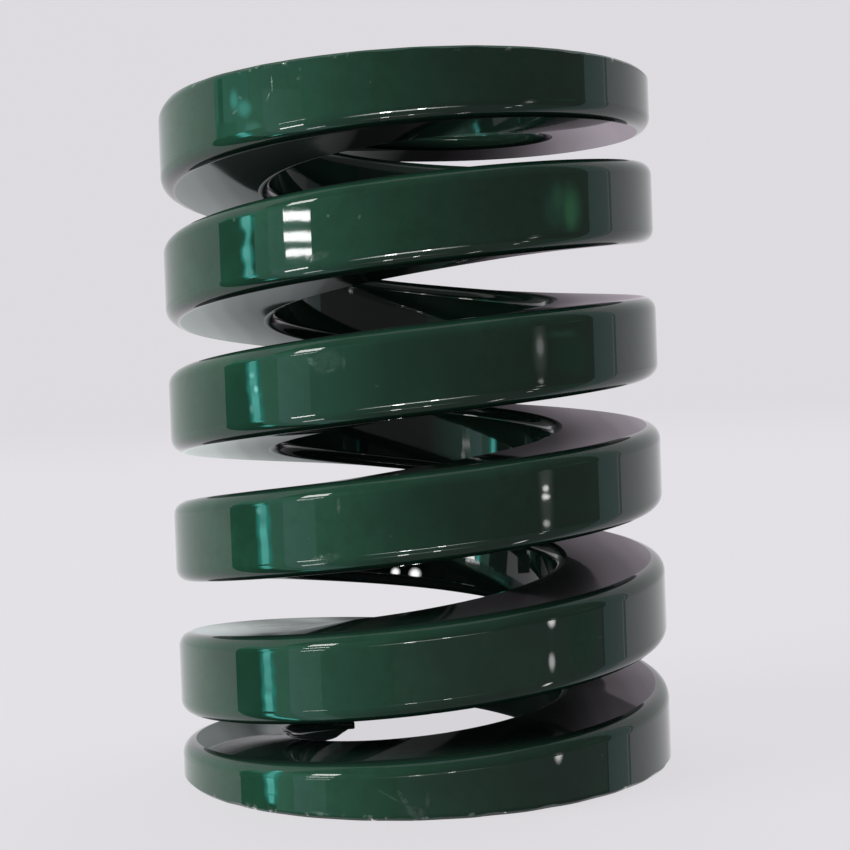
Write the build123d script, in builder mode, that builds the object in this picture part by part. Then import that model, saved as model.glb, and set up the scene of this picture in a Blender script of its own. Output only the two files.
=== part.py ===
"""Die spring: one bar of rectangular wire, coiled right-handed, its closed ends ground flat.

The spring stands on its lower end. The origin is the centre of that ground face, and +Z runs
up the coil's axis. All sizes are in millimetres and all angles in degrees.
"""

import os

from build123d import *

# The spring as a catalogue gives it
outer_diameter = 37.2
inner_diameter = 20.3
free_length = 50.8
coil_turns = 6.04

# The wire's section: its height along the spring, and the flat that breaks each corner
wire_height = 6.05
corner_flat = 0.65

# Each closed end: the climb of its turn, how long it keeps it, and how it opens to the active pitch
closed_pitch = 6.7
closed_turns = 0.66
opening_turns = 0.25
tip_thickness = 1.2
lower_tip_angle = 125.0

# The bar is coiled this much too wide on each side, then turned to both diameters
turning_allowance = 0.5
# Upright sections that shape the bar, in each turn
sections_per_turn = 24

wire_width = (outer_diameter - inner_diameter) / 2
mean_radius = (outer_diameter + inner_diameter) / 4
tip_height = tip_thickness - wire_height / 2
total_climb = free_length - 2 * tip_height
active_turns = coil_turns - 2 * closed_turns - opening_turns
active_pitch = (total_climb - closed_pitch * (coil_turns - active_turns)) / active_turns


def climb_from_tip(turns):
    """Height that the wire's centre gains over its first turns, counted from either tip."""
    opened = min(max((turns - closed_turns) / opening_turns, 0), 1)
    beyond = max(turns - closed_turns - opening_turns, 0)
    faster_turns = opening_turns * (opened**3 - opened**4 / 2) + beyond
    return closed_pitch * turns + (active_pitch - closed_pitch) * faster_turns


def wire_centre_height(turns):
    """Height of the wire's centre line, at a number of turns from the lower tip."""
    if turns < coil_turns / 2:
        return tip_height + climb_from_tip(turns)
    return free_length - tip_height - climb_from_tip(coil_turns - turns)


def upright_plane(turns):
    """Plane across the wire that holds the spring's axis: X points outward and Y up."""
    outward = Vector(1, 0, 0).rotate(Axis.Z, lower_tip_angle + 360 * turns)
    centre = mean_radius * outward + Vector(0, 0, wire_centre_height(turns))
    return Plane(centre, x_dir=outward, z_dir=outward.cross(Vector(0, 0, 1)))


section_count = round(coil_turns * sections_per_turn)
bar_width = wire_width + 2 * turning_allowance
bar_corner = corner_flat + turning_allowance

with BuildPart() as spring_coil:
    for index in range(section_count + 1):
        with BuildSketch(upright_plane(coil_turns * index / section_count)):
            bar = Rectangle(bar_width, wire_height)
            chamfer(bar.vertices(), bar_corner)
    loft()

    # Turned inside and out to the true diameters
    below = Plane.XY.offset(-wire_height)
    with BuildSketch(below):
        Circle(inner_diameter / 2)
    extrude(amount=free_length + 2 * wire_height, mode=Mode.SUBTRACT)
    with BuildSketch(below):
        Circle(outer_diameter / 2)
    extrude(amount=free_length + 2 * wire_height, mode=Mode.INTERSECT)

    # Both ends ground flat and square to the axis
    split(bisect_by=Plane.XY, keep=Keep.TOP)
    split(bisect_by=Plane.XY.offset(free_length), keep=Keep.BOTTOM)

spring_coil.part.label = "spring_coil"
os.makedirs("parts", exist_ok=True)
export_step(spring_coil.part, "parts/spring_coil.step")
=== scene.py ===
"""Die spring in dark green enamel: a fine mesh of the coil, its finish, a pale studio and camera.

Everything is in metres in the CAD frame. The spring stands on z = 0 with its axis on Z.
Places along the wire are in turns from the front (-Y) of the lowest coil, and directions round the
axis in degrees from the front. Both grow to the right and round the back.
"""
import math

import bpy
from mathutils import Matrix, Vector


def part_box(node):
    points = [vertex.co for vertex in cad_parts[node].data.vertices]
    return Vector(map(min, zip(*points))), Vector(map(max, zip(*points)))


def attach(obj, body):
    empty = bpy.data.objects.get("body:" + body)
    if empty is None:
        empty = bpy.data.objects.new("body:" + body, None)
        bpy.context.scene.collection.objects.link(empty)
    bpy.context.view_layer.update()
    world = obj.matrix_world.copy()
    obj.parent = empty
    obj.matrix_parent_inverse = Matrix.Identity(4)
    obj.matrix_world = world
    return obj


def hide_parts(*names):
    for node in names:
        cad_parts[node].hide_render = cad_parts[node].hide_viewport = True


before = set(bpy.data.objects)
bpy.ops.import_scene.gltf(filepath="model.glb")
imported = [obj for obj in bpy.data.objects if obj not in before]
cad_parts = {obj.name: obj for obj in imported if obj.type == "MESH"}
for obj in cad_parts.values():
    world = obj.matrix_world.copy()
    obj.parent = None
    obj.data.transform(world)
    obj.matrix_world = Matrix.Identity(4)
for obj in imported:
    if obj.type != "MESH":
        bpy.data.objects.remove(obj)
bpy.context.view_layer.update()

MM = 0.001
TURN = 2 * math.pi

# ---------------------------------------------------------------- the coil's sizes
low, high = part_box("spring_coil")
OUTER = (high[0] - low[0]) / 2
FREE_LENGTH = high[2]
INNER = 10.25 * MM
MEAN = (OUTER + INNER) / 2
WIRE_HEIGHT = 6.05 * MM
CORNER = 1.0 * MM

# The wire's centre line, in turns and in millimetres up
LOWER_TIP = -0.403
UPPER_TIP = 5.637
MIDDLE_TURN = 2.6
MIDDLE_HEIGHT = 25.474
PITCH = 9.732
# The closed turns: climb in a turn, turn where the open pitch meets it, turns that it fades over
LOWER_CLOSED = (6.25, 0.252, 0.06)
UPPER_CLOSED = (5.0, 4.569, 0.897)
# Places where the coiling is a little uneven: turn, rise in millimetres, spread in turns
UNEVEN = ((1.407, -0.199, 0.60), (1.944, 0.183, 0.318), (4.407, 0.403, 0.389))

# The upper ground face is not quite square: its slope to the right and to the back
TOP_SLOPE = (0.0251, 0.0023)
# The tips are worn to a thinner end: by how much, over what length, and how fast it grows
TIP_WORN = (0.85 * MM, 3.2 * MM, 1.6)
# A tip's rim is a little rounded: its radius, and for each ring the way gone and what is shrunk
RIM = 0.22 * MM
RIM_RINGS = ((0, 1), (0.3, 0.3), (1, 0))

# What is broken away of the ground edges: its size, and the shares that every place has, that a
# fine raggedness adds or takes, and that rare larger chips add
EDGE_BROKEN = 0.16 * MM
EDGE_SLANT = 0.8     # how far in a broken edge reaches, for its depth
EDGE_EVEN, EDGE_FINE, EDGE_RARE = 0.95, 0.3, 1.4
# Two waves each, in radians a turn, and how much more the seed shifts the second
FINE_CHIPS = (523.0, 331.0, 1.7)
RARE_CHIPS = (97.0, 61.0, 2.3)
RARE_FROM = 0.55
EDGE_SEEDS = (1.3, 4.1, 2.2, 5.9)     # lower outer, lower inner, upper inner, upper outer edge
WOBBLE_WAVES = ((7.31, 1.0), (17.9, 2.1), (43.7, 3.7))

STEPS_PER_TURN = 168
ARC_STEPS = 6
FLAT_STEPS = 8
# Points across a flat side; the outermost two lie close to the corners and keep its shading flat
FLAT_SHARES = (0.015, *(step / FLAT_STEPS for step in range(1, FLAT_STEPS)), 0.985)
SHARP_ANGLE = math.radians(35)


def between(start, end, share):
    """The values a share of the way from start to end."""
    return tuple(a + (b - a) * share for a, b in zip(start, end))


def fade_in(distance, width):
    """Distance gone beyond 0, starting smoothly over a width."""
    part = min(max(distance / width, 0), 1)
    return width * (part**3 - part**4 / 2) + max(distance - width, 0)


def centre_height(turn):
    """Height of the wire's centre line."""
    climb = PITCH * (turn - MIDDLE_TURN)
    lower_pitch, lower_end, lower_fade = LOWER_CLOSED
    climb += (PITCH - lower_pitch) * fade_in(lower_end - turn, lower_fade)
    upper_pitch, upper_start, upper_fade = UPPER_CLOSED
    climb -= (PITCH - upper_pitch) * fade_in(turn - upper_start, upper_fade)
    for where, rise, spread in UNEVEN:
        climb += rise * math.exp(-(((turn - where) / spread) ** 2))
    return (MIDDLE_HEIGHT + climb) * MM


def heading(turn):
    """Direction (x, y) from the axis to a place along the wire."""
    angle = TURN * (turn - 0.25)
    return math.cos(angle), math.sin(angle)


def wobble(place, seed):
    """A smooth uneven value from -1 to 1."""
    waves = [math.sin(place * pace + shift * seed) for pace, shift in WOBBLE_WAVES]
    return sum(waves) / len(waves)


def chips(turn, seed, pace, other_pace, shift):
    """Two waves along the wire multiplied, from -1 to 1."""
    return math.sin(turn * pace + seed) * math.sin(turn * other_pace + shift * seed)


def edge_broken(turn, seed):
    """How far a ground edge is broken away."""
    fine = chips(turn, seed, *FINE_CHIPS)
    rare = max(0.0, chips(turn, seed, *RARE_CHIPS) - RARE_FROM)
    return EDGE_BROKEN * (EDGE_EVEN + EDGE_FINE * fine + EDGE_RARE * rare)


def tip_lift(turn, tip):
    """How far the wire's ground face stands off the ground plane near a worn tip."""
    depth, length, growth = TIP_WORN
    gone = abs(turn - tip) * TURN * MEAN
    return depth * max(0.0, 1 - gone / length) ** growth


def top_plane(x, y):
    """Height of the upper ground face."""
    steepest = math.hypot(*TOP_SLOPE) * OUTER
    return FREE_LENGTH - steepest + TOP_SLOPE[0] * x + TOP_SLOPE[1] * y


# ---------------------------------------------------------------- the coil
def corner_points(centre, vertical, ground, broken):
    """One rounded corner, from the upright side to the level face, cut off by the ground plane.

    vertical is -1 for a lower corner and 1 for an upper one. The points are (distance in from the
    upright side, height).
    """
    face = centre + vertical * WIRE_HEIGHT / 2
    cut = max(0.0, vertical * (face - ground))
    edge = min(broken, cut)
    deepest = CORNER - cut - edge
    last = math.pi / 2 if cut == 0 else math.asin(min(max(deepest / CORNER, 0), 1))
    points = []
    for step in range(ARC_STEPS + 1):
        angle = last * step / ARC_STEPS
        inward = CORNER * (1 - math.cos(angle))
        up = face - vertical * CORNER * (1 - math.sin(angle))
        if deepest < 0:
            up = ground - vertical * edge
        points.append((inward, up))
    flat = ground if cut > 0 else face
    points.append((inward + edge * EDGE_SLANT, flat))
    return points


def section(turn):
    """The wire's outline at a turn, as (radius, height), from the lower outer corner inward."""
    x, y = heading(turn)
    centre = centre_height(turn)
    below = tip_lift(turn, LOWER_TIP)
    worn = tip_lift(turn, UPPER_TIP)
    above_in = top_plane(x * INNER, y * INNER) - worn
    above_out = top_plane(x * OUTER, y * OUTER) - worn
    broken = [edge_broken(turn, seed) for seed in EDGE_SEEDS]
    lower_out = corner_points(centre, -1, below, broken[0])
    lower_in = corner_points(centre, -1, below, broken[1])
    upper_in = corner_points(centre, 1, above_in, broken[2])
    upper_out = corner_points(centre, 1, above_out, broken[3])
    corners = [
        [(OUTER - inward, up) for inward, up in lower_out],
        [(INNER + inward, up) for inward, up in reversed(lower_in)],
        [(INNER + inward, up) for inward, up in upper_in],
        [(OUTER - inward, up) for inward, up in reversed(upper_out)],
    ]
    outline = []
    for corner, following in zip(corners, corners[1:] + corners[:1]):
        outline += corner
        outline += [between(corner[-1], following[0], share) for share in FLAT_SHARES]
    return outline


def shrink(outline, amount):
    """The outline moved inward by an amount, for the rounded rim of a tip."""
    radii = [point[0] for point in outline]
    heights = [point[1] for point in outline]
    result = []
    for radius, height in outline:
        radius = min(max(radius, min(radii) + amount), max(radii) - amount)
        height = min(max(height, min(heights) + amount), max(heights) - amount)
        result.append((radius, height))
    return result


def rim_ring(turn, share):
    """A section near a tip, shrunk by a share of the rim's radius."""
    return turn, shrink(section(turn), RIM * share)


def coil_rings():
    """Every section along the wire, as (turn, outline), with a small rounded rim at both tips."""
    count = round((UPPER_TIP - LOWER_TIP) * STEPS_PER_TURN)
    turns = [LOWER_TIP + (UPPER_TIP - LOWER_TIP) * step / count for step in range(count + 1)]
    tip_step = RIM / (TURN * MEAN)
    rings = [rim_ring(turns[0] + tip_step * gone, share) for gone, share in RIM_RINGS]
    rings += [(turn, section(turn)) for turn in turns[1:-1]]
    rings += [rim_ring(turns[-1] - tip_step * gone, share) for gone, share in reversed(RIM_RINGS)]
    return rings


def wire_uv(turn, height):
    """UV of a point: metres along the wire, and metres up from its centre line."""
    return turn * TURN * OUTER, height - centre_height(turn)


def build_coil():
    """The whole coil as one closed mesh, with a UV map of distances along and up the wire."""
    rings = coil_rings()
    around = len(rings[0][1])
    vertices, faces, uvs = [], [], []
    for turn, outline in rings:
        x, y = heading(turn)
        vertices += [(radius * x, radius * y, height) for radius, height in outline]
    for ring in range(len(rings) - 1):
        here, there = ring * around, (ring + 1) * around
        for point in range(around):
            after = (point + 1) % around
            faces.append((here + point, there + point, there + after, here + after))
            for which, at in ((ring, point), (ring + 1, point), (ring + 1, after), (ring, after)):
                turn, outline = rings[which]
                uvs.append(wire_uv(turn, outline[at][1]))
    last = (len(rings) - 1) * around
    faces += [tuple(range(around)), tuple(reversed(range(last, last + around)))]
    for turn, outline in (rings[0], (rings[-1][0], rings[-1][1][::-1])):
        uvs += [wire_uv(turn, height) for _, height in outline]
    mesh = bpy.data.meshes.new("spring_coil_enamel")
    mesh.from_pydata(vertices, [], faces)
    layer = mesh.uv_layers.new(name="wire")
    layer.data.foreach_set("uv", [value for pair in uvs for value in pair])
    mesh.polygons.foreach_set("use_smooth", [True] * len(mesh.polygons))
    mesh.validate()
    mesh.update()
    mesh.set_sharp_from_angle(angle=SHARP_ANGLE)
    coil = bpy.data.objects.new("spring_coil_enamel", mesh)
    bpy.context.scene.collection.objects.link(coil)
    return coil


coil = build_coil()
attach(coil, "root")
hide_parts("spring_coil")


# ---------------------------------------------------------------- camera
DISTANCE = 6.4104 * OUTER
EYE_HEIGHT = 1.4864 * OUTER
YAW, PITCH_UP, ROLL = 0.0062, -0.0182, -0.0373     # radians
FOCAL_PIXELS = 1549.8
IMAGE_PIXELS = 850
SENSOR = 36

ahead = math.cos(PITCH_UP)
forward = Vector((math.sin(YAW) * ahead, math.cos(YAW) * ahead, math.sin(PITCH_UP)))
level = Vector((math.cos(YAW), -math.sin(YAW), 0))
upright = level.cross(forward)
right = math.cos(ROLL) * level + math.sin(ROLL) * upright
up = -math.sin(ROLL) * level + math.cos(ROLL) * upright
facing = Matrix((right, up, -forward)).transposed().to_4x4()

camera_data = bpy.data.cameras.new("camera")
camera_data.sensor_width = SENSOR
camera_data.lens = SENSOR * FOCAL_PIXELS / IMAGE_PIXELS
camera_data.clip_start = 0.001
camera_data.clip_end = 100
camera = bpy.data.objects.new("camera", camera_data)
camera.matrix_world = Matrix.Translation((0, -DISTANCE, EYE_HEIGHT)) @ facing
bpy.context.scene.collection.objects.link(camera)
bpy.context.scene.camera = camera


# ---------------------------------------------------------------- node helpers
def new_material(name):
    """A node material with an empty tree."""
    material = bpy.data.materials.new(name)
    material.use_nodes = True
    material.node_tree.nodes.clear()
    return material


def fill(tree, socket, value):
    """Sets a socket to a value, or links it where the value is another socket."""
    if isinstance(value, bpy.types.NodeSocket):
        tree.links.new(value, socket)
    else:
        socket.default_value = value


def node(tree, kind, settings=None, **inputs):
    """A node with its settings and inputs.

    An input is a socket's name with _ for a space, or i and its number.
    """
    made = tree.nodes.new(kind)
    for name, value in (settings or {}).items():
        setattr(made, name, value)
    for name, value in inputs.items():
        numbered = name[0] == "i" and name[1:].isdigit()
        fill(tree, made.inputs[int(name[1:]) if numbered else name.replace("_", " ")], value)
    return made


def math_node(tree, operation, first, second=0.0, third=0.0):
    settings = {"operation": operation}
    return node(tree, "ShaderNodeMath", settings, i0=first, i1=second, i2=third).outputs[0]


def ramp(tree, value, start, end):
    """0 at start to 1 at end, smoothly."""
    settings = {"interpolation_type": "SMOOTHSTEP"}
    made = node(tree, "ShaderNodeMapRange", settings, i0=value, i1=start, i2=end, i3=0.0, i4=1.0)
    return made.outputs[0]


def blend_colour(tree, share, first, second):
    """The first colour, going over to the second as the share goes from 0 to 1."""
    made = node(tree, "ShaderNodeMix", {"data_type": "RGBA"}, i0=share, i6=first, i7=second)
    return made.outputs[2]


def noise(tree, vector, scale, detail, roughness):
    made = node(
        tree, "ShaderNodeTexNoise", Vector=vector, Scale=scale, Detail=detail, Roughness=roughness,
    )
    return made.outputs[0]


def patches(tree, vector, texture, start, end):
    """Noise as soft patches, from 0 to 1."""
    return ramp(tree, noise(tree, vector, *texture), start, end)


def place_and_radius(tree):
    """The shaded point's place, its x, y and z, and its distance from the axis."""
    place = node(tree, "ShaderNodeTexCoord").outputs["Object"]
    spread = node(tree, "ShaderNodeSeparateXYZ", i0=place).outputs
    across = node(tree, "ShaderNodeCombineXYZ", i0=spread[0], i1=spread[1], i2=0.0)
    radius = node(tree, "ShaderNodeVectorMath", {"operation": "LENGTH"}, i0=across.outputs[0])
    return place, spread, radius.outputs["Value"]


def how_seen(tree):
    """1 where the camera, a gloss or something clear shows the surface, and 1 in a gloss alone."""
    path = node(tree, "ShaderNodeLightPath").outputs
    shown = math_node(tree, "MAXIMUM", path["Is Camera Ray"], path["Is Glossy Ray"])
    shown = math_node(tree, "MAXIMUM", shown, path["Is Transmission Ray"])
    return shown, path["Is Glossy Ray"]


# ---------------------------------------------------------------- wear
# Marks on the outer side: turn, height from the wire's centre, length and width (millimetres),
# tilt (degrees), strength
MARKS = (
    (4.9232, 0.75, 1.35, 0.13, 91, 0.8), (4.9205, -0.05, 0.80, 0.14, 60, 0.6),
    (4.9407, 0.75, 0.40, 0.30, 20, 0.5), (4.9084, 1.95, 0.35, 0.22, 10, 0.5),
    (4.9002, 0.35, 0.50, 0.25, 150, 0.4), (4.8960, -0.50, 0.70, 0.22, 20, 0.4),
    (3.9550, 0.90, 0.26, 0.26, 0, 0.6), (3.9731, 0.50, 0.42, 0.24, 70, 0.6),
    (3.8917, 1.92, 0.36, 0.30, 0, 0.5), (2.9420, 1.42, 1.10, 0.55, -35, 0.4),
    (2.9530, 0.70, 1.10, 0.24, 5, 0.35), (2.9610, 1.15, 0.30, 1.40, 0, 0.22),
    (2.9510, 1.30, 2.60, 1.90, 0, 0.13), (1.9547, 1.45, 1.25, 0.30, 88, 0.42),
    (1.9450, -1.95, 2.60, 0.80, 6, 0.28), (3.9480, -1.60, 2.20, 0.70, 8, 0.20),
    (-0.0225, 0.85, 2.10, 0.16, -32, 0.30), (-0.0140, 0.50, 2.00, 0.42, -60, 0.30),
    (-0.0075, -0.35, 1.70, 0.90, -25, 0.30), (-0.0010, 0.35, 1.30, 0.34, 86, 0.24),
    (-0.0085, -0.86, 0.42, 0.22, 0, 1.0), (-0.0029, -0.78, 0.62, 0.34, 8, 1.0),
    (0.0235, -0.84, 0.55, 0.26, 5, 1.0), (-0.0640, -0.20, 1.60, 0.30, -8, 0.7),
    (1.1116, 0.05, 0.30, 0.26, 0, 0.6), (0.1100, 1.20, 0.30, 0.26, 0, 0.5),
)
MARK_FADE = 0.45     # share of a mark's size over which its rim fades


def marks(tree, broken_up):
    """How strongly the marks show, from 0 to 1, broken up by a noise."""
    wire = node(tree, "ShaderNodeUVMap", {"uv_map": "wire"}).outputs[0]
    total = None
    for turn, height, length, width, tilt, strength in MARKS:
        placed = node(
            tree, "ShaderNodeMapping", {"vector_type": "TEXTURE"},
            Vector=wire,
            Location=(turn * TURN * OUTER, height * MM, 0),
            Rotation=(0, 0, math.radians(tilt)),
            Scale=(length * MM / 2, width * MM / 2, 1),
        ).outputs[0]
        spot = node(tree, "ShaderNodeTexGradient", {"gradient_type": "SPHERICAL"}, Vector=placed)
        spot = ramp(tree, spot.outputs[1], 0.0, MARK_FADE)
        spot = math_node(tree, "MULTIPLY", spot, strength)
        total = spot if total is None else math_node(tree, "MAXIMUM", total, spot)
    return math_node(tree, "MULTIPLY", total, broken_up)


# ---------------------------------------------------------------- the enamel
ENAMEL = (0.024, 0.115, 0.065, 1)
ENAMEL_DEEP = (0.018, 0.085, 0.052, 1)
ENAMEL_SHADE = (0.014, 0.078, 0.040, 1)
# The colour in from the outer side: partly thinner paint inside the coil, partly painted shade on
# the top, under and inner faces
ENAMEL_INSIDE_AND_PAINTED_SHADE = (0.018, 0.042, 0.031, 1)
SCUFF = (0.25, 0.36, 0.30, 1)
BARE_STEEL = (0.55, 0.56, 0.54, 1)
ENAMEL_IOR = 1.5

# Noise textures, each with its scale in waves a metre, its detail and its roughness
# Patches, with the noise's values where a patch begins and is full
CLOUDS = ((140.0, 4.0, 0.5), 0.35, 0.68)       # thicker and thinner coats
MOTTLE = ((620.0, 5.0, 0.7), 0.42, 0.66)
FLECKS = ((900.0, 4.0, 0.7), 0.60, 0.68)       # bare steel at the ground edges
SCUFFS = ((2200.0, 4.0, 0.6), 0.30, 0.60)      # what breaks the marks up
SPECKS = ((1700.0, 1.0, 0.5), 0.80, 0.86)      # tiny pits
# Bumps, from broad to fine, with their strength and height
WAVES = ((170.0, 1.0, 0.5), 0.05, 0.04 * MM)
PEEL = ((620.0, 1.5, 0.5), 0.08, 0.008 * MM)
FINE = ((2600.0, 3.0, 0.5), 0.008, 0.02 * MM)

MOTTLE_SHARE = 0.55
SPECK_SHARE = 0.4
# How far in from the outer side the inside's colour (thinner paint and painted shade) begins and is
# full
INSIDE_BEGINS, INSIDE_FULL = 0.15 * MM, 0.7 * MM
# How far from a ground face the flecks begin and are full, and the same in from the outer side
LOW_FLECKS_BEGIN, TOP_FLECKS_BEGIN, FLECKS_FULL = 0.55 * MM, 0.5 * MM, 0.05 * MM
FLECKS_BEGIN_IN, FLECKS_FULL_IN = 0.9 * MM, 0.3 * MM
# Roughness: the least, and what the fine noise, the inside, bare steel and marks add
ROUGH_LEAST, ROUGH_FINE, ROUGH_INSIDE, ROUGH_BARE, ROUGH_WORN = 0.012, 0.018, 0.02, 0.3, 0.35


def enamel_material():
    material = new_material("green_enamel_gloss")
    tree = material.node_tree
    place, (x, _, height), radius = place_and_radius(tree)

    # Colour: thicker and thinner coats, and darker and greyer in from the outer side, partly
    # thinner paint and partly painted shade on the top, under and inner faces
    cloudy = patches(tree, place, *CLOUDS)
    colour = blend_colour(tree, cloudy, ENAMEL, ENAMEL_DEEP)
    mottled = math_node(tree, "MULTIPLY", patches(tree, place, *MOTTLE), MOTTLE_SHARE)
    colour = blend_colour(tree, mottled, colour, ENAMEL_SHADE)
    inside = ramp(tree, radius, OUTER - INSIDE_BEGINS, OUTER - INSIDE_FULL)
    colour = blend_colour(tree, inside, colour, ENAMEL_INSIDE_AND_PAINTED_SHADE)

    # Pale flecks where the ground edges have lost their paint
    near_low = ramp(tree, height, LOW_FLECKS_BEGIN, FLECKS_FULL)
    lowest_top = FREE_LENGTH - OUTER * math.hypot(*TOP_SLOPE)
    from_top = math_node(tree, "SUBTRACT", lowest_top, height)
    slope = math_node(tree, "MULTIPLY", x, TOP_SLOPE[0])
    from_top = math_node(tree, "ADD", from_top, slope)
    near_top = ramp(tree, from_top, TOP_FLECKS_BEGIN, FLECKS_FULL)
    near_edge = math_node(tree, "MAXIMUM", near_low, near_top)
    outermost = ramp(tree, radius, OUTER - FLECKS_BEGIN_IN, OUTER - FLECKS_FULL_IN)
    near_edge = math_node(tree, "MULTIPLY", near_edge, outermost)
    bare = math_node(tree, "MULTIPLY", near_edge, patches(tree, place, *FLECKS))
    colour = blend_colour(tree, bare, colour, BARE_STEEL)

    # Scratches and smears on the outer side, and a few tiny pits anywhere
    scuffed = marks(tree, patches(tree, place, *SCUFFS))
    outside = math_node(tree, "SUBTRACT", 1.0, inside)
    worn = math_node(tree, "MULTIPLY", scuffed, outside)
    colour = blend_colour(tree, worn, colour, SCUFF)
    specks = math_node(tree, "MULTIPLY", patches(tree, place, *SPECKS), SPECK_SHARE)
    colour = blend_colour(tree, specks, colour, SCUFF)

    # Gloss: rougher inside and where it is worn, and never quite even
    waves, peel, fine = (noise(tree, place, *texture) for texture, _, _ in (WAVES, PEEL, FINE))
    rough = math_node(tree, "MULTIPLY_ADD", fine, ROUGH_FINE, ROUGH_LEAST)
    rough = math_node(tree, "MULTIPLY_ADD", inside, ROUGH_INSIDE, rough)
    rough = math_node(tree, "MULTIPLY_ADD", bare, ROUGH_BARE, rough)
    rough = math_node(tree, "MULTIPLY_ADD", worn, ROUGH_WORN, rough)
    normal = {}
    for bumps, (_, strength, tall) in ((waves, WAVES), (peel, PEEL), (fine, FINE)):
        made = node(
            tree, "ShaderNodeBump", Strength=strength, Distance=tall, Height=bumps, **normal,
        )
        normal = {"Normal": made.outputs[0]}
    shader = node(
        tree, "ShaderNodeBsdfPrincipled",
        Base_Color=colour, Roughness=rough, Metallic=bare, IOR=ENAMEL_IOR, **normal,
    )
    node(tree, "ShaderNodeOutputMaterial", Surface=shader.outputs[0])
    return material


coil.data.materials.append(enamel_material())


# ---------------------------------------------------------------- floor and backdrop
PALE = (0.73, 0.715, 0.745, 1)
PALE_SHARE = 0.84                     # how much of the pale surface is its own glow where it shows
GLOW_NEAR, GLOW_RISE = 1.08, 0.08     # the glow near the spring, and what it gains far away
RISE_FROM, RISE_TO = 0.15, 1.6
GLOW_IN_GLOSS = 1.32

FLOOR_MIDDLE, FLOOR_RADIUS = 0.5, 2.4
BEND_RADIUS, BEND_STEPS = 0.6, 16
WALL_TOP = 3.0
AROUND_BACKDROP = 96


def pale_material():
    """A pale surface that keeps a soft shadow, and shows pale in a gloss too."""
    material = new_material("pale_studio")
    tree = material.node_tree
    shown, in_gloss = how_seen(tree)
    share = math_node(tree, "MULTIPLY", shown, PALE_SHARE)
    diffuse = node(tree, "ShaderNodeBsdfDiffuse", Color=PALE).outputs[0]
    _, _, away = place_and_radius(tree)
    far = ramp(tree, away, RISE_FROM, RISE_TO)
    far = math_node(tree, "MULTIPLY_ADD", far, GLOW_RISE, GLOW_NEAR)
    in_gloss = math_node(tree, "MULTIPLY", in_gloss, GLOW_IN_GLOSS)
    strength = math_node(tree, "MAXIMUM", far, in_gloss)
    glow = node(tree, "ShaderNodeEmission", Color=PALE, Strength=strength).outputs[0]
    mixed = node(tree, "ShaderNodeMixShader", i0=share, i1=diffuse, i2=glow)
    node(tree, "ShaderNodeOutputMaterial", Surface=mixed.outputs[0])
    return material


def round_angles(around):
    """Angles in equal steps once round, in radians."""
    return [TURN * step / around for step in range(around)]


def ring_faces(rings, around, first=0):
    """Faces between rings of points that follow each other, from the first point's number on."""
    faces = []
    for start in range(first, first + (rings - 1) * around, around):
        for step in range(around):
            here, after = start + step, start + (step + 1) % around
            faces.append((here, here + around, after + around, after))
    return faces


def grid_faces(rows, columns):
    """Faces of a grid of points that are numbered row by row."""
    faces = []
    for row in range(rows - 1):
        for here in range(row * columns, (row + 1) * columns - 1):
            faces.append((here, here + 1, here + columns + 1, here + columns))
    return faces


def add_mesh(name, vertices, faces, material):
    mesh = bpy.data.meshes.new(name)
    mesh.from_pydata(vertices, [], faces)
    mesh.materials.append(material)
    made = bpy.data.objects.new(name, mesh)
    bpy.context.scene.collection.objects.link(made)
    return made


def round_backdrop():
    """A round floor that curves up into a wall all round, so that no side shows a horizon."""
    profile = [(FLOOR_MIDDLE, 0.0), (FLOOR_RADIUS, 0.0)]
    for step in range(1, BEND_STEPS + 1):
        angle = math.pi / 2 * step / BEND_STEPS
        out, rise = BEND_RADIUS * math.sin(angle), BEND_RADIUS * (1 - math.cos(angle))
        profile.append((FLOOR_RADIUS + out, rise))
    profile.append((FLOOR_RADIUS + BEND_RADIUS, WALL_TOP))
    vertices = [(0, 0, 0)]
    for radius, z in profile:
        for angle in round_angles(AROUND_BACKDROP):
            vertices.append((radius * math.cos(angle), radius * math.sin(angle), z))
    faces = [
        (0, 1 + step, 1 + (step + 1) % AROUND_BACKDROP) for step in range(AROUND_BACKDROP)
    ]
    faces += ring_faces(len(profile), AROUND_BACKDROP, first=1)
    bowl = add_mesh("backdrop", vertices, faces, pale_material())
    bowl.data.polygons.foreach_set("use_smooth", [True] * len(faces))
    return bowl


backdrop = round_backdrop()
backdrop.visible_diffuse = False


# ---------------------------------------------------------------- light
MIDDLE = Vector((0, 0, FREE_LENGTH / 2))
SKY_COLOUR = (0.97, 0.96, 1.0, 1)
SKY_LIGHT, SKY_SHOWN = 0.10, 0.60     # what lights the object, and what is added where it shows


def direction(azimuth, elevation=0):
    """Unit vector from the axis: azimuth 0 is the front (-Y) and 90 the right, in degrees."""
    a, e = math.radians(azimuth), math.radians(elevation)
    return Vector((math.sin(a) * math.cos(e), -math.cos(a) * math.cos(e), math.sin(e)))


def area_light(name, azimuth, elevation, distance, size, power, colour):
    """A rectangular lamp that faces the spring's middle, and shows in no gloss."""
    data = bpy.data.lights.new(name, "AREA")
    data.shape = "RECTANGLE"
    data.size, data.size_y = size
    data.energy = power
    data.color = colour
    lamp = bpy.data.objects.new(name, data)
    away = direction(azimuth, elevation)
    lamp.location = MIDDLE + away * distance
    lamp.rotation_mode = "QUATERNION"
    lamp.rotation_quaternion = away.to_track_quat("Z", "Y")
    lamp.visible_glossy = False
    lamp.visible_camera = False
    bpy.context.scene.collection.objects.link(lamp)


def studio_world():
    """A pale even sky, weak on the object and brighter where it shows."""
    world = bpy.data.worlds.new("studio")
    world.use_nodes = True
    tree = world.node_tree
    tree.nodes.clear()
    shown, _ = how_seen(tree)
    strength = math_node(tree, "MULTIPLY_ADD", shown, SKY_SHOWN, SKY_LIGHT)
    sky = node(tree, "ShaderNodeBackground", Color=SKY_COLOUR, Strength=strength)
    node(tree, "ShaderNodeOutputWorld", Surface=sky.outputs[0])
    return world


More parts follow.
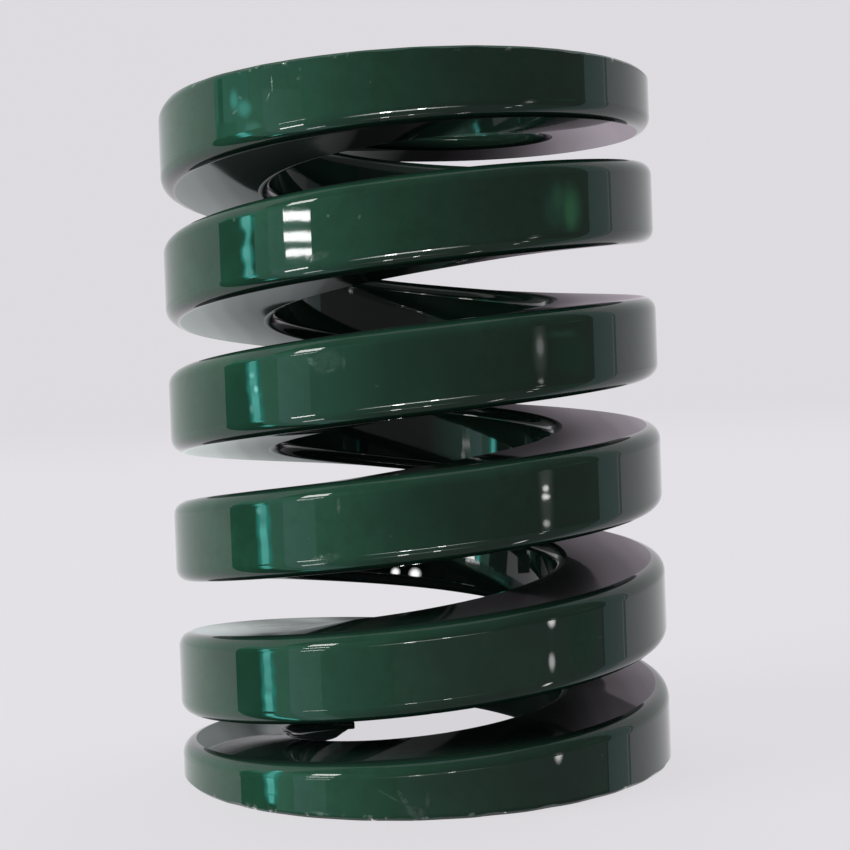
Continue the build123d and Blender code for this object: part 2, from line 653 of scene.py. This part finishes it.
bpy.context.scene.world = studio_world()
area_light(
    "key", azimuth=-72, elevation=28, distance=0.9, size=(0.55, 0.35), power=5.6,
    colour=(0.97, 1.0, 0.97),
)
area_light(
    "top", azimuth=165, elevation=65, distance=1.0, size=(0.9, 0.9), power=7.0,
    colour=(1.0, 0.98, 1.0),
)


# ---------------------------------------------------------------- what the gloss shows
WALL_DISTANCE = 850 * MM
FLOOR_LAYER = 0.1 * MM     # from one layer of cards on the floor to the next one above it
WALL_LAYER = 6 * MM        # from one layer of cards on the wall to the next one in front of it
CARD_STEP = 1.5            # degrees between a card's columns

# A soft spot's rings and a strip's columns: share of half the size, how solid
SPOT_RINGS = ((0.4, 1.0), (0.75, 0.7), (1.0, 0.3), (1.35, 0.0))
AROUND_SPOT = 16
STRIP_COLUMNS = ((-1.3, 0.0), (-0.7, 1.0), (0.7, 1.0), (1.3, 0.0))
# How a strip wanders: by how much, and how fast from row to row
WANDER_ASIDE, WANDER_WIDTH, WANDER_GLOW = (0.35, 0.31), (0.12, 0.47), (0.4, 0.39)


def glow_sheet(name, vertices, faces, colours):
    """A sheet that shows only in the gloss, with a colour of its own at each vertex.

    A fourth value in a colour is how solid the sheet is there.
    """
    material = new_material(name)
    tree = material.node_tree
    glow = node(tree, "ShaderNodeAttribute", {"attribute_name": "glow"}).outputs
    shader = node(tree, "ShaderNodeEmission", Color=glow["Color"], Strength=1.0).outputs[0]
    clear = node(tree, "ShaderNodeBsdfTransparent").outputs[0]
    mixed = node(tree, "ShaderNodeMixShader", i0=glow["Alpha"], i1=clear, i2=shader)
    node(tree, "ShaderNodeOutputMaterial", Surface=mixed.outputs[0])
    made = add_mesh(name, vertices, faces, material)
    layer = made.data.color_attributes.new("glow", "FLOAT_COLOR", "POINT")
    values = [value for colour in colours for value in (*colour, 1.0)[:4]]
    layer.data.foreach_set("color", values)
    made.visible_camera = False
    made.visible_shadow = False
    made.visible_diffuse = False


def raised(point, height):
    """The point moved up by a height."""
    return tuple(point + Vector((0, 0, height)))


def mirrored(place, distance):
    """Point on the floor, a distance away in the direction that the outer side reflects.

    place is where on the outer side the reflection is seen, in degrees right of its front.
    """
    p = math.radians(place)
    turned = math.degrees(math.atan2(math.sin(p), DISTANCE / OUTER - math.cos(p)))
    return direction(place) * OUTER + direction(2 * place + turned) * distance


def reflected_card(name, places, first, last, floor, wall, layer):
    """A card between two places on the outer side, its colour going from first to last.

    floor is its nearest and farthest distance on the floor, and wall its lowest and highest edge
    on the wall, in millimetres. A higher layer lies in front of a lower one.
    """
    rows = [(distance * MM, layer * FLOOR_LAYER) for distance in floor or ()]
    rows += [(WALL_DISTANCE - layer * WALL_LAYER, height * MM) for height in wall or ()]
    across = max(2, round(abs(places[1] - places[0]) / CARD_STEP))
    vertices, faces, colours = [], [], []
    for step in range(across + 1):
        share = step / across
        place = places[0] + (places[1] - places[0]) * share
        for distance, height in rows:
            vertices.append(raised(mirrored(place, distance), height))
            colours.append(between(first, last or first, share))
    for step in range(across):
        for row in range(0, len(rows), 2):
            start = step * len(rows) + row
            faces.append((start, start + 1, start + 1 + len(rows), start + len(rows)))
    glow_sheet(name, vertices, faces, colours)


def fading_spot(name, point_at, colour):
    """A round spot that fades out at its rim.

    point_at gives the point for two shares of half its size, across and along.
    """
    vertices, colours = [], []
    for share, solid in SPOT_RINGS:
        for angle in round_angles(AROUND_SPOT):
            vertices.append(tuple(point_at(share * math.cos(angle), share * math.sin(angle))))
            colours.append((*colour, solid))
    faces = [tuple(range(AROUND_SPOT))] + ring_faces(len(SPOT_RINGS), AROUND_SPOT)
    glow_sheet(name, vertices, faces, colours)


def soft_spot(name, places, colour, floor, wall, layer):
    """A round spot on the floor or the wall, its size given as for a card."""
    near, far = floor or wall

    def point_at(across, along):
        place = sum(places) / 2 + (places[1] - places[0]) / 2 * across
        reach = ((near + far) / 2 + (far - near) / 2 * along) * MM
        if floor:
            return raised(mirrored(place, reach), layer * FLOOR_LAYER)
        return raised(mirrored(place, WALL_DISTANCE - layer * WALL_LAYER), reach)

    fading_spot(name, point_at, colour)


def wander(way, row, seed):
    """How far a strip has wandered at a row, in one of its ways."""
    amount, pace = way
    return amount * wobble(row * pace, seed)


def wandering_strip(name, rows, places, colour, layer):
    """An upright strip whose sides and brightness wander from row to row.

    A row is a distance on the floor, or 0 for the wall, and a height there, in millimetres, the
    share of the strip's width to keep, and how far the row is moved to the right, in degrees.
    """
    vertices, colours = [], []
    for row, (distance, height, keep, moved) in enumerate(rows):
        middle = sum(places) / 2 + moved + wander(WANDER_ASIDE, row, 2)
        half = (places[1] - places[0]) / 2 * keep * (1 + wander(WANDER_WIDTH, row, layer + 2))
        glow = 1 + wander(WANDER_GLOW, row, layer + 5)
        away = distance * MM if distance else WALL_DISTANCE - layer * WALL_LAYER
        if distance and height:
            away -= layer * FLOOR_LAYER
        rise = max(height * MM, layer * FLOOR_LAYER)
        for share, solid in STRIP_COLUMNS:
            vertices.append(raised(mirrored(middle + half * share, away), rise))
            colours.append((*(value * glow for value in colour), solid))
    glow_sheet(name, vertices, grid_faces(len(rows), len(STRIP_COLUMNS)), colours)


# The room, its window of three bars, and the light along the rounded edges. On the floor the
# lowest turn's side shows 0 to 28 mm, the next one's 37 to 96 mm and the one above's 138 to
# 500 mm, and the gaps in between show only in the rounded lower edges.
NEAR = (0.3, 850)
ROOM = (0, 2000)
EDGE = (97, 137)
LOW_EDGE = (24.5, 28.3)
WINDOW = (25, 25, 25)
FAINT = (0.3, 0.4, 0.35)
CARDS = (
    # name, places, first and last colour, floor, wall, layer
    ("dark_room", (-33.7, 41.5), (0.20, 0.22, 0.21), (0.21, 0.20, 0.20), NEAR, ROOM, 1),
    ("green_room", (-33.5, -6), (0.42, 0.95, 0.72), (0.22, 0.26, 0.25), NEAR, (0, 420), 2),
    ("dark_frame", (-43.8, -33.5), (0.06, 0.08, 0.07), None, NEAR, (0, 165), 1),
    ("green_corner", (-43.6, -33.5), (0.30, 0.75, 0.62), (0.40, 1.05, 0.85), None, (165, 330), 1),
    ("corner_line", (-42.4, -40.9), (0.10, 0.25, 0.22), None, None, (175, 225), 2),
    ("corner_shade", (-43.0, -37.0), (0.14, 0.35, 0.28), (0.25, 0.7, 0.55), None, (165, 197), 2),
    ("blue_wall", (-29, -21.5), (0.68, 1.15, 1.10), (0.52, 0.95, 0.82), NEAR, (0, 100), 3),
    ("blue_haze", (-30, -21), (0.55, 1.10, 0.95), (0.42, 0.80, 0.62), None, (100, 215), 3),
    ("right_wall", (41.5, 48), (0.42, 0.56, 0.56), (0.50, 0.60, 0.60), NEAR, ROOM, 1),
    ("right_line", (48.4, 49.2), (0.38, 0.46, 0.47), None, NEAR, ROOM, 2),
    ("near_floor", (-6, 41), (0.32, 0.34, 0.33), (0.28, 0.30, 0.30), (0.3, 110), None, 3),
    ("high_window", (-26.2, -20), (14, 14, 14), None, None, (260, 430), 5),
    ("window_0", (-26.2, -20), WINDOW, None, None, (134.4, 140.6), 5),
    ("window_1", (-26.2, -20), WINDOW, None, None, (122.5, 128.0), 5),
    ("window_2", (-25.9, -20), WINDOW, None, None, (113.7, 118.0), 5),
    ("edge_glow", (-12, -3), FAINT, (12, 12, 12), EDGE, None, 5),
    ("edge_middle", (-3, 5), (12, 12, 12), (9.6, 9.6, 9.6), EDGE, None, 5),
    ("edge_fade", (5, 14), (9.6, 9.6, 9.6), FAINT, EDGE, None, 5),
    ("edge_glint_0", (-4.0, -1.6), (60, 60, 60), None, EDGE, None, 6),
    ("edge_glint_1", (3.8, 5.4), (48, 48, 48), None, EDGE, None, 6),
    ("edge_glint_2", (-26.0, -20.5), (20, 20, 20), None, EDGE, None, 6),
    ("low_edge_glow", (-12, -3), FAINT, (2, 2, 2), LOW_EDGE, None, 5),
    ("low_edge_middle", (-3, 5), (2, 2, 2), None, LOW_EDGE, None, 5),
    ("low_edge_fade", (5, 14), (2, 2, 2), FAINT, LOW_EDGE, None, 5),
    ("low_edge_glint_0", (-4.0, -1.6), (22, 22, 22), None, LOW_EDGE, None, 6),
    ("low_edge_glint_1", (3.8, 5.4), (22, 22, 22), None, LOW_EDGE, None, 6),
    ("low_edge_glint_2", (-26.0, -20.5), (11, 11, 11), None, LOW_EDGE, None, 6),
)
for card in CARDS:
    reflected_card(*card)

# Round spots: lamps, the green leaves beside them, and the glints in the teal blind
SPOTS = (
    # name, places, colour, floor, wall, layer
    ("lamp_stand", (25.6, 28.8), (0.75, 0.78, 0.75), (140, 700), None, 4),
    ("lamp_haze", (25.4, 28.6), (0.7, 0.75, 0.7), None, (38, 70), 4),
    ("leaf_0", (28.5, 35.5), (0.20, 0.30, 0.25), None, (138, 156), 4),
    ("corner_teal_0", (-38.8, -36.4), (0.7, 3.2, 2.7), None, (203, 215), 3),
    ("corner_teal_1", (-36.8, -33.0), (0.8, 3.4, 2.9), None, (199, 209), 3),
    ("corner_teal_2", (-35.0, -30.5), (0.8, 2.2, 1.9), None, (187, 196), 3),
    ("leaf_1", (29.0, 35.0), (0.26, 0.52, 0.38), None, (124, 146), 5),
    ("leaf_2", (33.2, 39.0), (0.32, 0.90, 0.50), None, (122, 150), 5),
    ("leaf_3", (34.6, 37.4), (0.42, 1.20, 0.62), None, (124, 142), 6),
    ("leaf_4", (31.2, 34.4), (0.32, 0.70, 0.46), None, (133, 150), 6),
    ("leaf_5", (30.0, 40.0), (0.20, 0.30, 0.25), None, (36, 62), 4),
    ("leaf_6", (29.0, 36.5), (0.26, 0.50, 0.38), None, (60, 64), 5),
    ("leaf_7", (31.0, 39.5), (0.20, 0.34, 0.26), (45, 100), None, 4),
    ("lamp_low_0", (26.1, 27.9), (2.6, 2.6, 2.6), None, (49, 61), 5),
    ("lamp_low_1", (26.2, 27.6), (4, 4, 4), None, (33, 36), 5),
    ("lamp_0", (26.4, 27.9), (14, 14, 14), (322, 348), None, 5),
    ("lamp_1", (26.2, 28.1), (16, 16, 16), (288, 311), None, 5),
    ("lamp_2", (26.2, 27.9), (7, 7, 7), (211, 227), None, 5),
    ("lamp_3", (26.5, 28.3), (12, 12, 12), (76, 85), None, 5),
    ("lamp_4", (26.4, 27.9), (7, 7, 7), (48, 58), None, 5),
    ("lamp_5", (26.9, 28.9), (12, 12, 12), (10.5, 17), None, 5),
    ("blind_glint_0", (-36.4, -34.9), (3, 9, 9), None, (42.5, 46), 5),
    ("blind_glint_1", (-35.3, -34.1), (5, 13, 13), None, (34, 37.5), 5),
    ("blind_glint_2", (-36.6, -35.2), (1.5, 5, 4.6), None, (22, 27), 5),
    ("blind_glint_3", (-35.9, -34.4), (2, 6, 5.5), (275, 300), None, 5),
    ("blind_glint_4", (-37.0, -35.3), (1.5, 5.5, 5.0), None, (131, 139), 5),
    ("blind_glint_5", (-36.9, -35.1), (1.5, 6.0, 5.6), None, (112, 121), 5),
    ("blind_glint_6", (-36.0, -34.2), (1.5, 4.4, 4.0), None, (103, 107), 5),
)
for spot in SPOTS:
    soft_spot(*spot)

# Two small lamps that only the inner side of the third gap shows, by their corners in millimetres
INNER_GLINTS = (
    ((-401.4, -432.6, 6.3), (-453.2, -378.4, 6.0), (-452.0, -379.8, 3.7), (-400.1, -433.8, 3.8)),
    ((-325.0, -366.9, 4.35), (-346.0, -347.1, 4.3), (-345.0, -348.0, 2.45), (-323.9, -367.7, 2.5)),
)
INNER_GLOW = (4.5, 4.5, 4.5)
for index, corners in enumerate(INNER_GLINTS):
    vertices = [tuple(value * MM for value in corner) for corner in corners]
    glow_sheet("inner_glint_%d" % index, vertices, [(0, 1, 2, 3)], [INNER_GLOW] * 4)

# Two small lamps close to the inner side of the back of the fifth turn, seen through the gap:
# centre, half the width and half the height, in millimetres
BORE_GLINTS = (((-1.53, 8.62, 12.93), 0.26, 0.34), ((-0.36, 8.72, 12.68), 0.32, 0.46))
BORE_GLOW = (26, 26, 26)
for index, (centre, wide, tall) in enumerate(BORE_GLINTS):
    fading_spot(
        "bore_glint_%d" % index,
        lambda across, along: (Vector(centre) + Vector((wide * across, 0, tall * along))) * MM,
        BORE_GLOW,
    )

# A small dark screen that keeps those two lamps out of the gloss at the right of the bore: x, and
# the corners' y and z, in millimetres
SCREEN_X = 1.0
SCREEN_CORNERS = ((7.4, 12.2), (8.7, 12.2), (8.7, 13.8), (7.4, 13.8))
SCREEN_COLOUR = (0.02, 0.02, 0.024)
glow_sheet(
    "bore_screen",
    [(SCREEN_X * MM, y * MM, z * MM) for y, z in SCREEN_CORNERS],
    [(0, 1, 2, 3)],
    [SCREEN_COLOUR] * 4,
)

# The shaded floor's rings: radius at the front and sides, radius behind (millimetres), how solid
SHADE_RINGS = ((9, 9, 1.0), (17.5, 23.5, 1.0), (18.3, 29, 0.0))
SHADE_HEIGHT = 0.05 * MM
SHADE_COLOUR = (0.03, 0.028, 0.034)
AROUND_SHADE = 48


def contact_shade():
    """The dark floor in the bore and close behind the spring, as the lowest turns' gloss has it."""
    vertices, colours = [], []
    for front, behind, solid in SHADE_RINGS:
        for angle in round_angles(AROUND_SHADE):
            reach = (front + (behind - front) * max(0.0, math.sin(angle))) * MM
            vertices.append((reach * math.cos(angle), reach * math.sin(angle), SHADE_HEIGHT))
            colours.append((*SHADE_COLOUR, solid))
    faces = [tuple(range(AROUND_SHADE))] + ring_faces(len(SHADE_RINGS), AROUND_SHADE)
    glow_sheet("contact_shade", vertices, faces, colours)


contact_shade()

# The teal blind. It stands near the spring for the two lowest turns, and lies far off for the
# others, so that the rounded lower corners show little of it.
LOW_ROWS = [(1.2, 0, 0.6, 0.6), (3.5, 0, 0.9, 0.6)]
LOW_ROWS += [(3.5, 0.53 * step, 1.0, 0.6) for step in range(1, 11)]
MIDDLE_ROWS = [(29, 0.02 + 0.6 * step, 1.0, 1.0) for step in range(16)]
FAR_ROWS = [(138 * 1.13**step, 0, 1.0, 1.6 - 0.06 * step) for step in range(15)]
FAR_ROWS += [(0, 4 + 4 * step, 1.0, max(0.0, 1.0 - 0.08 * step)) for step in range(24)]
FAR_ROWS += [
    (0, 104, 1.0, 0), (0, 110, 0.6, 0.2), (0, 114, 1.0, 0), (0, 120, 1.0, 0), (0, 124, 0.5, 0.3),
    (0, 129, 0.5, 0.3), (0, 132, 1.1, 0), (0, 138, 1.1, 0), (0, 144, 0.3, 0),
]
# Its places, colour and layer, and those of its brighter core
BLIND = ((-37.2, -33.8), (0.2, 2.3, 2.0), 3)
BLIND_CORE = ((-36.4, -34.6), (1.2, 5.2, 4.7), 4)
for name, rows in (("low", LOW_ROWS), ("middle", MIDDLE_ROWS), ("far", FAR_ROWS)):
    wandering_strip("teal_blind_" + name, rows, *BLIND)
    wandering_strip("teal_core_" + name, rows, *BLIND_CORE)

# A card of floor and wall behind the spring, dark in the middle as if the spring shaded it.
# Its columns are slopes to the side as seen from the camera, the same to the left and the right.
# Its rows are a place (y, z) in metres, and the brightness at each column.
SLOPES = (0.012, 0.038, 0.06, 0.078, 0.095, 0.11, 0.125, 0.14, 0.165)
COLUMNS = (*(-slope for slope in reversed(SLOPES)), *SLOPES)
ROWS = (
    (0.026, 0.0006, (0.95, 0.80, 0.62, 0.45, 0.36, 0.31, 0.24, 0.10, 0.01,
                     0.01, 0.03, 0.04, 0.10, 0.25, 0.40, 0.52, 0.57, 0.70)),
    (0.280, 0.0006, (0.95, 0.80, 0.66, 0.47, 0.36, 0.31, 0.24, 0.10, 0.01,
                     0.01, 0.03, 0.04, 0.10, 0.25, 0.40, 0.52, 0.57, 0.70)),
    (0.280, 0.0100, (0.80, 0.70, 0.58, 0.44, 0.36, 0.36, 0.36, 0.16, 0.01,
                     0.01, 0.03, 0.06, 0.14, 0.30, 0.45, 0.58, 0.60, 0.70)),
    (0.280, 0.0180, (0.60, 0.42, 0.25, 0.12, 0.30, 0.46, 0.54, 0.30, 0.01,
                     0.01, 0.03, 0.09, 0.22, 0.40, 0.55, 0.66, 0.62, 0.70)),
    (0.280, 0.0400, (0.50, 0.22, 0.15, 0.10, 0.10, 0.10, 0.10, 0.05, 0.02,
                     0.02, 0.03, 0.07, 0.15, 0.30, 0.40, 0.52, 0.58, 0.70)),
    (0.280, 0.0700, (0.50, 0.30, 0.20, 0.12, 0.10, 0.08, 0.07, 0.05, 0.04,
                     0.04, 0.04, 0.06, 0.09, 0.18, 0.28, 0.33, 0.42, 0.72)),
    (0.280, 0.1200, (0.60, 0.40, 0.28, 0.18, 0.12, 0.08, 0.07, 0.05, 0.03,
                     0.02, 0.03, 0.06, 0.07, 0.14, 0.22, 0.30, 0.50, 0.95)),
    (0.280, 0.9000, (0.60, 0.45, 0.35, 0.25, 0.18, 0.15, 0.12, 0.10, 0.10,
                     0.10, 0.10, 0.12, 0.15, 0.20, 0.26, 0.34, 0.50, 0.95)),
)
LEFT_TINT, RIGHT_TINT = (0.95, 1.01, 1.02), (1.02, 0.90, 1.02)
glow_sheet(
    "back_card",
    [(slope * (DISTANCE + y), y, z) for y, z, _ in ROWS for slope in COLUMNS],
    grid_faces(len(ROWS), len(COLUMNS)),
    [
        tuple(value * tint for tint in (LEFT_TINT if slope < 0 else RIGHT_TINT))
        for _, _, values in ROWS for slope, value in zip(COLUMNS, values)
    ],
)

bpy.context.scene.view_settings.view_transform = "Standard"
